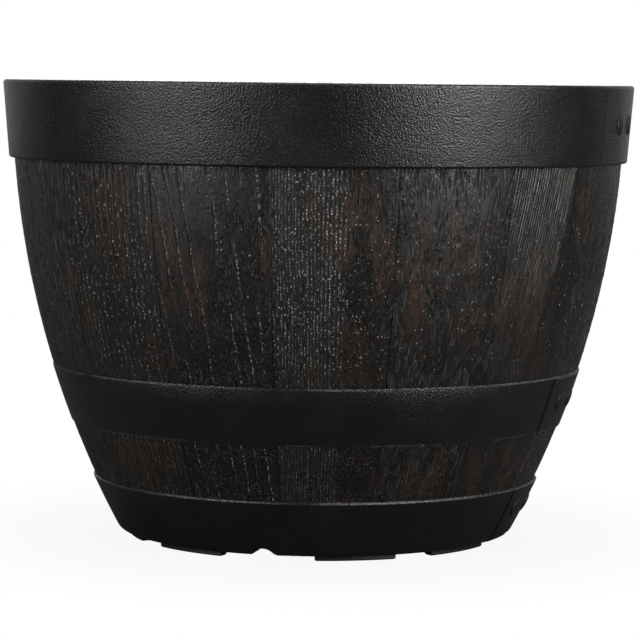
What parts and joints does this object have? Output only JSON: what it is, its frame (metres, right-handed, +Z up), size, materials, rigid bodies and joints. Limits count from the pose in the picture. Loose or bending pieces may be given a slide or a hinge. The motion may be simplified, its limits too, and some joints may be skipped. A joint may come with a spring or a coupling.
{
  "type": "barrel planter",
  "caption": "Round free-standing planter shaped like half a cask: bellied stave wall, riveted hoops, feet, water notches and removable drain plugs.",
  "frame": {"origin": "on the barrel's axis, on the ground under the feet", "axes": "+Z up along the barrel's axis; -Y is the front that the picture faces; the hoops' lapped ends are at +X"},
  "size_m": [0.3897, 0.3896, 0.281],
  "materials": {
    "staves": "moulded wood grain, very dark walnut with worn brown streaks, semi-matt",
    "hoops": "pebbled black, semi-matt, worn light along the edges",
    "rivets": "smooth black",
    "plugs": "black rubber"
  },
  "bodies": {
    "planter": {"barrel_shell": "staves", "rim_hoop": "hoops", "middle_hoop": "hoops", "base_hoop": "hoops", "rim_hoop_rivets": "rivets", "middle_hoop_rivets": "rivets", "base_hoop_rivets": "rivets"},
    "drain_plug_1": {"drain_plug_1": "plugs"},
    "drain_plug_2": {"drain_plug_2": "plugs"},
    "drain_plug_3": {"drain_plug_3": "plugs"},
    "drain_plug_4": {"drain_plug_4": "plugs"}
  },
  "joints": [
    {"name": "drain_plug_1_pull", "type": "slide", "parent": "planter", "child": "drain_plug_1", "axis": [0, 0, 1], "range_m": [0, 0.03]},
    {"name": "drain_plug_2_pull", "type": "slide", "parent": "planter", "child": "drain_plug_2", "axis": [0, 0, 1], "range_m": [0, 0.03]},
    {"name": "drain_plug_3_pull", "type": "slide", "parent": "planter", "child": "drain_plug_3", "axis": [0, 0, 1], "range_m": [0, 0.03]},
    {"name": "drain_plug_4_pull", "type": "slide", "parent": "planter", "child": "drain_plug_4", "axis": [0, 0, 1], "range_m": [0, 0.03]}
  ]
}
